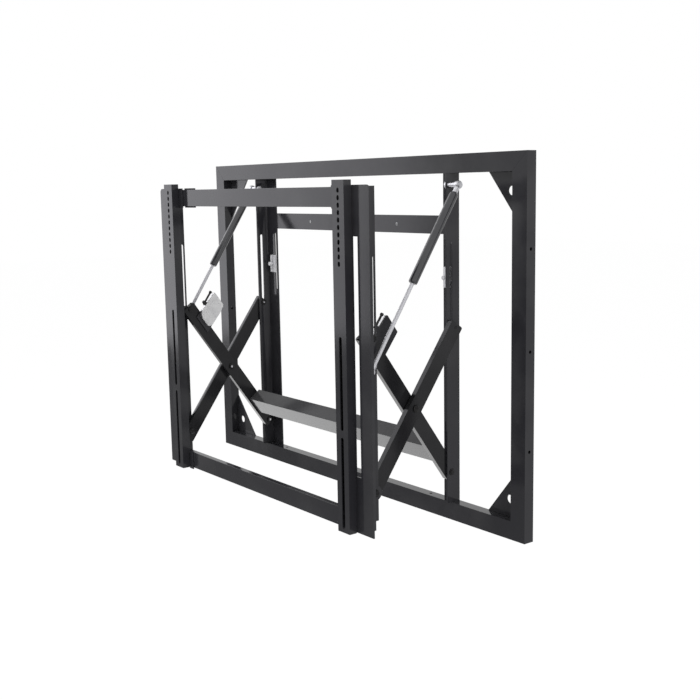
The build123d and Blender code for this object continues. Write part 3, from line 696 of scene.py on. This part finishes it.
# Each inner arm carries a latch: a leaning plate welded to the arm, and a pressed zinc-plated case
# riveted to it, which snaps on the strike's peg. Its release lever is a short black bar with a knob to
# pull it by, on a pin in the plate's tab.
LATCH_ZINC = metal("latch_case_zinc", colour=(0.72, 0.72, 0.72, 1), smudged=(0.62, 0.62, 0.63, 1),
                   roughness=0.42, cloud_scale=50.0, grain=500.0)
LEVER_BLACK = coated("lever_black", colour=(0.010, 0.010, 0.010, 1), dusty=(0.018, 0.018, 0.018, 1),
                     roughness=0.38, specular=0.3, peel=0.05)
ARM_REACH = WALL_FOOT[0] - FRONT_HEAD[0]
ARM_RISE = FRONT_HEAD[1] - WALL_FOOT[1]
ARM_LENGTH = (ARM_REACH ** 2 + ARM_RISE ** 2) ** 0.5
ARM_SIN = ARM_REACH / ARM_LENGTH
ARM_COS = ARM_RISE / ARM_LENGTH
CASE_OUT = 301.0
CASE_IN = 294.0
CASE_LOW = 7.0
CASE_BEND = 14.0
CASE_HIGH = 66.5
CASE_NOTCH = 53.0
CASE_LIP = 1.5
CASE_CORNER = 4.5
CASE_RIM = 1.8
PLATE_HIGH = 66.0
PLATE_FOOT = ARM_LENGTH - 67.0
PLATE_TOP = ARM_LENGTH - 22.0
FOOT_LEAN = 21.0 / PLATE_HIGH
TOP_LEAN = 16.0 / PLATE_HIGH
PLATE_BEND = 1.4
TAB_HALF = 4.5
TAB_REACH = 3.6
TAB_SLANT = 1.5
RIVET = [(0, 0), (0, 2.4), (0.6, 2.1), (1.0, 1.3), (1.1, 0)]
CASE_RIB_LOW = 22
CASE_RIB_HIGH = 54
CASE_RIB_RISE = 0.5
CASE_RIB_BEND = 3.0
CASE_RIB_RIM = 0.4
LEVER_X = 299.0
LEVER_FOOT = (ARM_LENGTH - 8.2, 34.5)
LEVER_TIP = (LEVER_FOOT[0] + 9.0, 61.0)
LEVER_R = 2.2
KNOB_R = 3.4
HUB = [(-1.7, 1.55), (-1.7, 2.6), (-1.3, 3.0), (1.3, 3.0), (1.7, 2.6), (1.7, 1.55)]
ACROSS = Vector((1, 0, 0))


def on_arm(s, h):
    """A point s along the inner arm from its wall pin and h off its middle line."""
    return WALL_FOOT[0] - s * ARM_SIN + h * ARM_COS, WALL_FOOT[1] + s * ARM_COS + h * ARM_SIN


def arm_plate(corners, x0, x1):
    """A plate between two distances along X, its corners given along and across the inner arm."""
    bm = bmesh.new()
    face = bm.faces.new([bm.verts.new(Vector((x0, *on_arm(s, h))) * MM) for s, h in corners])
    grown = bmesh.ops.extrude_face_region(bm, geom=[face])
    moved = [part for part in grown["geom"] if isinstance(part, bmesh.types.BMVert)]
    bmesh.ops.translate(bm, vec=((x1 - x0) * MM, 0, 0), verts=moved)
    return bm


def side_edges(bm, x):
    """The edges that lie in one plane across X."""
    return [edge for edge in bm.edges if all(abs(vert.co.x - x * MM) < SAME_POINT for vert in edge.verts)]


def foot_edge(h):
    """How far along the arm the plate's slanted lower edge is, h off the arm's middle line."""
    return PLATE_FOOT + FOOT_LEAN * h


def top_edge(h):
    """How far along the arm the plate's slanted upper edge is, h off the arm's middle line."""
    return PLATE_TOP + TOP_LEAN * h


def latch_plate():
    """The leaning plate, with a small tab for the lever's pin."""
    tab = LEVER_FOOT[0] + TAB_REACH
    low = LEVER_FOOT[1] - TAB_HALF
    high = LEVER_FOOT[1] + TAB_HALF
    corners = [(foot_edge(0), 0), (top_edge(0), 0), (top_edge(low), low), (tab, low + TAB_SLANT),
               (tab, high - TAB_SLANT), (top_edge(high), high), (top_edge(PLATE_HIGH), PLATE_HIGH),
               (foot_edge(PLATE_HIGH), PLATE_HIGH)]
    plate = arm_plate(corners, ARM_IN, CASE_OUT)
    rounded(plate, edges_along(plate, ACROSS), PLATE_BEND, segments=4)
    pin = turned([(0, 0), (0, 1.5), (3.3, 1.5), (3.7, 1.1), (3.7, 0)], (CASE_OUT, *on_arm(*LEVER_FOOT)),
                 (-1, 0, 0), steps=24)
    return joined(plate, pin)


def latch_case():
    """The pressed case, with wide corners and a rolled rim."""
    corners = [(top_edge(CASE_BEND) + CASE_LIP, CASE_BEND), (top_edge(CASE_HIGH) + CASE_LIP, CASE_HIGH),
               (foot_edge(CASE_HIGH) + 3.0, CASE_HIGH), (foot_edge(CASE_NOTCH) + 1.0, CASE_NOTCH),
               (foot_edge(CASE_BEND) + 3.0, CASE_BEND), (foot_edge(CASE_BEND) + 10.0, CASE_LOW),
               (top_edge(CASE_LOW) - 7.0, CASE_LOW)]
    shell = arm_plate(corners, CASE_OUT, CASE_IN)
    rounded(shell, edges_along(shell, ACROSS), CASE_CORNER, segments=6)
    return rounded(shell, side_edges(shell, CASE_IN), CASE_RIM, segments=4)


def case_details():
    """The raised rib round the case's middle, and its two rivets."""
    low = CASE_RIB_LOW
    high = CASE_RIB_HIGH
    corners = [(top_edge(low) - 8, low), (top_edge(high) - 8, high), (foot_edge(high) + 8, high),
               (foot_edge(low) + 9, low)]
    rib = arm_plate(corners, CASE_IN, CASE_IN - CASE_RIB_RISE)
    rounded(rib, edges_along(rib, ACROSS), CASE_RIB_BEND, segments=5)
    rounded(rib, side_edges(rib, CASE_IN - CASE_RIB_RISE), CASE_RIB_RIM, segments=2)
    details = [rib]
    for s, h in ((top_edge(14.5) - 9, 14.5), (foot_edge(59.0) + 17, 59.0)):
        details.append(turned(RIVET, (CASE_IN + 0.1, *on_arm(s, h)), (-1, 0, 0), steps=28))
    return joined(*details)


def release_lever():
    """The lever's bar with its knob, and its turned hub."""
    foot, tip = (Vector((LEVER_X, *on_arm(*end))) for end in (LEVER_FOOT, LEVER_TIP))
    run = tip - foot
    length = run.length
    bar = turned([(2.0, 0), (2.0, LEVER_R), (length - 4.6, LEVER_R), (length - 4.0, 2.8),
                  (length - 2.6, KNOB_R), (length - 0.4, KNOB_R), (length + 0.9, 2.6), (length + 1.4, 0)],
                 foot, run.normalized(), steps=24)
    hub = turned(HUB, foot, (1, 0, 0), steps=32, closed=True)
    return joined(bar, hub)


for side in SIDES:
    stand_in(latch_plate(), "latch_carrier", "latch_plate", POWDER_COAT, "inner_arms", side)
    stand_in(latch_case(), "latch_case", "latch_body", LATCH_ZINC, "inner_arms", side)
    fitted(case_details(), f"latch_case_details_{side}", LATCH_ZINC, "inner_arms", side=side)
    stand_in(release_lever(), "release_lever", "latch_lever", LEVER_BLACK,
             f"latch_lever_{side}", side)

# The carriage is a folded front plate on each side with a flange for the linkage, a slotted channel rail
# on it for the display, and two square tubes bolted across through small brackets. A flat strap backs
# each end of the upper tube.
CARRIAGE_CORNER = 0.5 * MM
STRAP_LENGTH = 43.0
STRAP_THICK = 2.5
STRAP_CORNER = 1.5
for node in ["top_bar", "bottom_bar"] + sides("carriage_upright", "rail", "bracket_top", "bracket_bottom"):
    dress(node, POWDER_COAT, CARRIAGE_CORNER)
bar_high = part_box("top_bar")[1] / MM
bracket_low, bracket_high = (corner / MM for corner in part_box("bracket_top_right"))
for side in SIDES:
    strap = block((bracket_high.x - STRAP_LENGTH, bar_high.y, bracket_low.z),
                  (bracket_high.x, bar_high.y + STRAP_THICK, bracket_high.z))
    rounded(strap, edges_along(strap, Vector((0, 1, 0))), STRAP_CORNER)
    fitted(strap, f"bar_strap_{side}", POWDER_COAT, "carriage", side=side)

# A gas spring on each side pushes the carriage out: a black enamelled tube, rolled in over a seal at its
# lower end, and a ground and chromed rod. Zinc-plated eyes on both ends turn on studs through the upright
# and the flange.
SPRING_BLACK = coated("spring_enamel", colour=(0.021, 0.021, 0.024, 1), dusty=(0.032, 0.032, 0.035, 1),
                      roughness=0.13, specular=0.8, peel=0.03)
SEAL = coated("spring_seal", colour=(0.02, 0.02, 0.02, 1), dusty=(0.03, 0.03, 0.03, 1), roughness=0.5,
              specular=0.4, peel=0.2)
CHROME = metal("rod_chrome", colour=(0.56, 0.56, 0.58, 1), smudged=(0.52, 0.52, 0.54, 1), roughness=0.42,
               cloud_scale=30.0, grain=90.0, marks=0.06, relief=0.01, metallic=0.3)
EYE_X0 = 338.0
EYE_X1 = 347.0
SPRING_X = 343.0
TOP_STUD = (-25.0, 287.0)
END_STUD = (-232.0, -29.0)
SPRING_TOP = Vector((SPRING_X, *TOP_STUD))
SPRING_RUN = Vector((SPRING_X, *END_STUD)) - SPRING_TOP
SPRING_LENGTH = SPRING_RUN.length
SPRING_LINE = SPRING_RUN.normalized()
TUBE_R = 8.2
TUBE_BORE_R = 3.8
TUBE_FROM = 17.0
TUBE_TO = 203.0
ROD_R = 3.6
ROD_FROM = 110.0
ROD_TO = SPRING_LENGTH - 15.0
UPPER_EYE_R = 7.4
LOWER_EYE_R = 6.5
SPACER_R = 5.2
STUD_NUT_R = 6.5
STUD_NUT_THICK = 4.6
SEAL_PROFILE = [(201.7, 3.65), (203.1, 3.65), (203.1, 4.4), (201.7, 3.8)]


def along_spring(profile, closed=False):
    """A shape turned on the spring's middle line, with distances from its upper stud."""
    return turned(profile, SPRING_TOP, SPRING_LINE, closed=closed)


def spring_tube():
    """The tube, domed at its closed end and turned in over the seal at the rod's end."""
    return along_spring([(TUBE_FROM, 0), (TUBE_FROM, 4.6), (17.6, 6.2), (19.0, 7.5), (21.0, TUBE_R),
                         (199.6, TUBE_R), (201.4, 7.7), (202.6, 6.7), (TUBE_TO, 5.6), (TUBE_TO, 4.5),
                         (201.6, TUBE_BORE_R), (30.0, TUBE_BORE_R), (30.0, 0)])


def eye(place, radius, neck_from, neck_to, neck_r):
    """An eye rounded over at its rims, bored for its stud, on a round neck."""
    ring = turned([(EYE_X0, PIN_R + 0.1), (EYE_X0, radius - 1.2), (EYE_X0 + 0.5, radius - 0.4),
                   (EYE_X0 + 1.6, radius), (EYE_X1 - 1.6, radius), (EYE_X1 - 0.5, radius - 0.4),
                   (EYE_X1, radius - 1.2), (EYE_X1, PIN_R + 0.1)], (0, *place), (1, 0, 0), closed=True)
    neck = along_spring([(neck_from, 0), (neck_from, neck_r - 0.7), (neck_from + 0.7, neck_r),
                         (neck_to - 0.7, neck_r), (neck_to, neck_r - 0.7), (neck_to, 0)])
    return joined(ring, neck)


def eye_stud(place, x0, cap_r):
    """The part of a stud in an eye, with its snap cap."""
    end = EYE_X1 + PLAY
    return round_pin(place, [(x0, PIN_R), (end, PIN_R), (end, cap_r), (end + 1.4, cap_r),
                             (end + 2.0, cap_r - 0.5), (end + 2.4, cap_r - 1.8), (end + 2.2, 1.6)])


def plate_stud(place, plate_in, plate_out):
    """The part of a stud in its plate: a hex nut inside, and a turned spacer towards the eye."""
    nut = hex_nut(place, -plate_in, -plate_in + STUD_NUT_THICK, STUD_NUT_R, THREAD_R)
    bmesh.ops.scale(nut, vec=(-1, 1, 1), verts=nut.verts)
    end = EYE_X0 - PLAY
    stud = round_pin(place, [(plate_in, PIN_R), (plate_out, PIN_R), (plate_out, SPACER_R - 0.4),
                             (plate_out + 0.4, SPACER_R), (end - 0.4, SPACER_R), (end, SPACER_R - 0.4)])
    return joined(nut, stud)


for side in SIDES:
    barrel = f"spring_barrel_{side}"
    rod = f"spring_rod_{side}"
    stand_in(spring_tube(), "spring_tube", "spring_cylinder", SPRING_BLACK, barrel, side)
    seal = along_spring(SEAL_PROFILE, closed=True)
    fitted(seal, f"spring_seal_{side}", SEAL, barrel, side=side)
    upper_eye = eye(TOP_STUD, UPPER_EYE_R, neck_from=5.5, neck_to=TUBE_FROM, neck_r=4.8)
    stand_in(upper_eye, "spring_upper_eye", "spring_eye_top", ZINC, barrel, side)
    ground_rod = along_spring([(ROD_FROM, 0), (ROD_FROM, ROD_R), (ROD_TO, ROD_R), (ROD_TO, 0)])
    stand_in(ground_rod, "spring_ground_rod", "spring_rod", CHROME, rod, side)
    lower_eye = eye(END_STUD, LOWER_EYE_R, neck_from=ROD_TO, neck_to=SPRING_LENGTH - 5.5, neck_r=5.0)
    stand_in(lower_eye, "spring_lower_eye", "spring_eye_end", ZINC, rod, side)
    lower_stud = eye_stud(END_STUD, EYE_X0, cap_r=5.0)
    stand_in(lower_stud, "spring_lower_stud", "spring_pin_end", ZINC, rod, side)
    flange_stud = plate_stud(END_STUD, FLANGE_IN, FLANGE_OUT)
    stand_in(flange_stud, "spring_flange_stud", "spring_stud_front", ZINC, "carriage", side)
    upper_stud = joined(plate_stud(TOP_STUD, ANGLE_IN, ANGLE_OUT),
                        eye_stud(TOP_STUD, EYE_X0 - PLAY, cap_r=5.2))
    stand_in(upper_stud, "spring_upper_stud", "spring_stud_top", ZINC, "wall_frame", side)
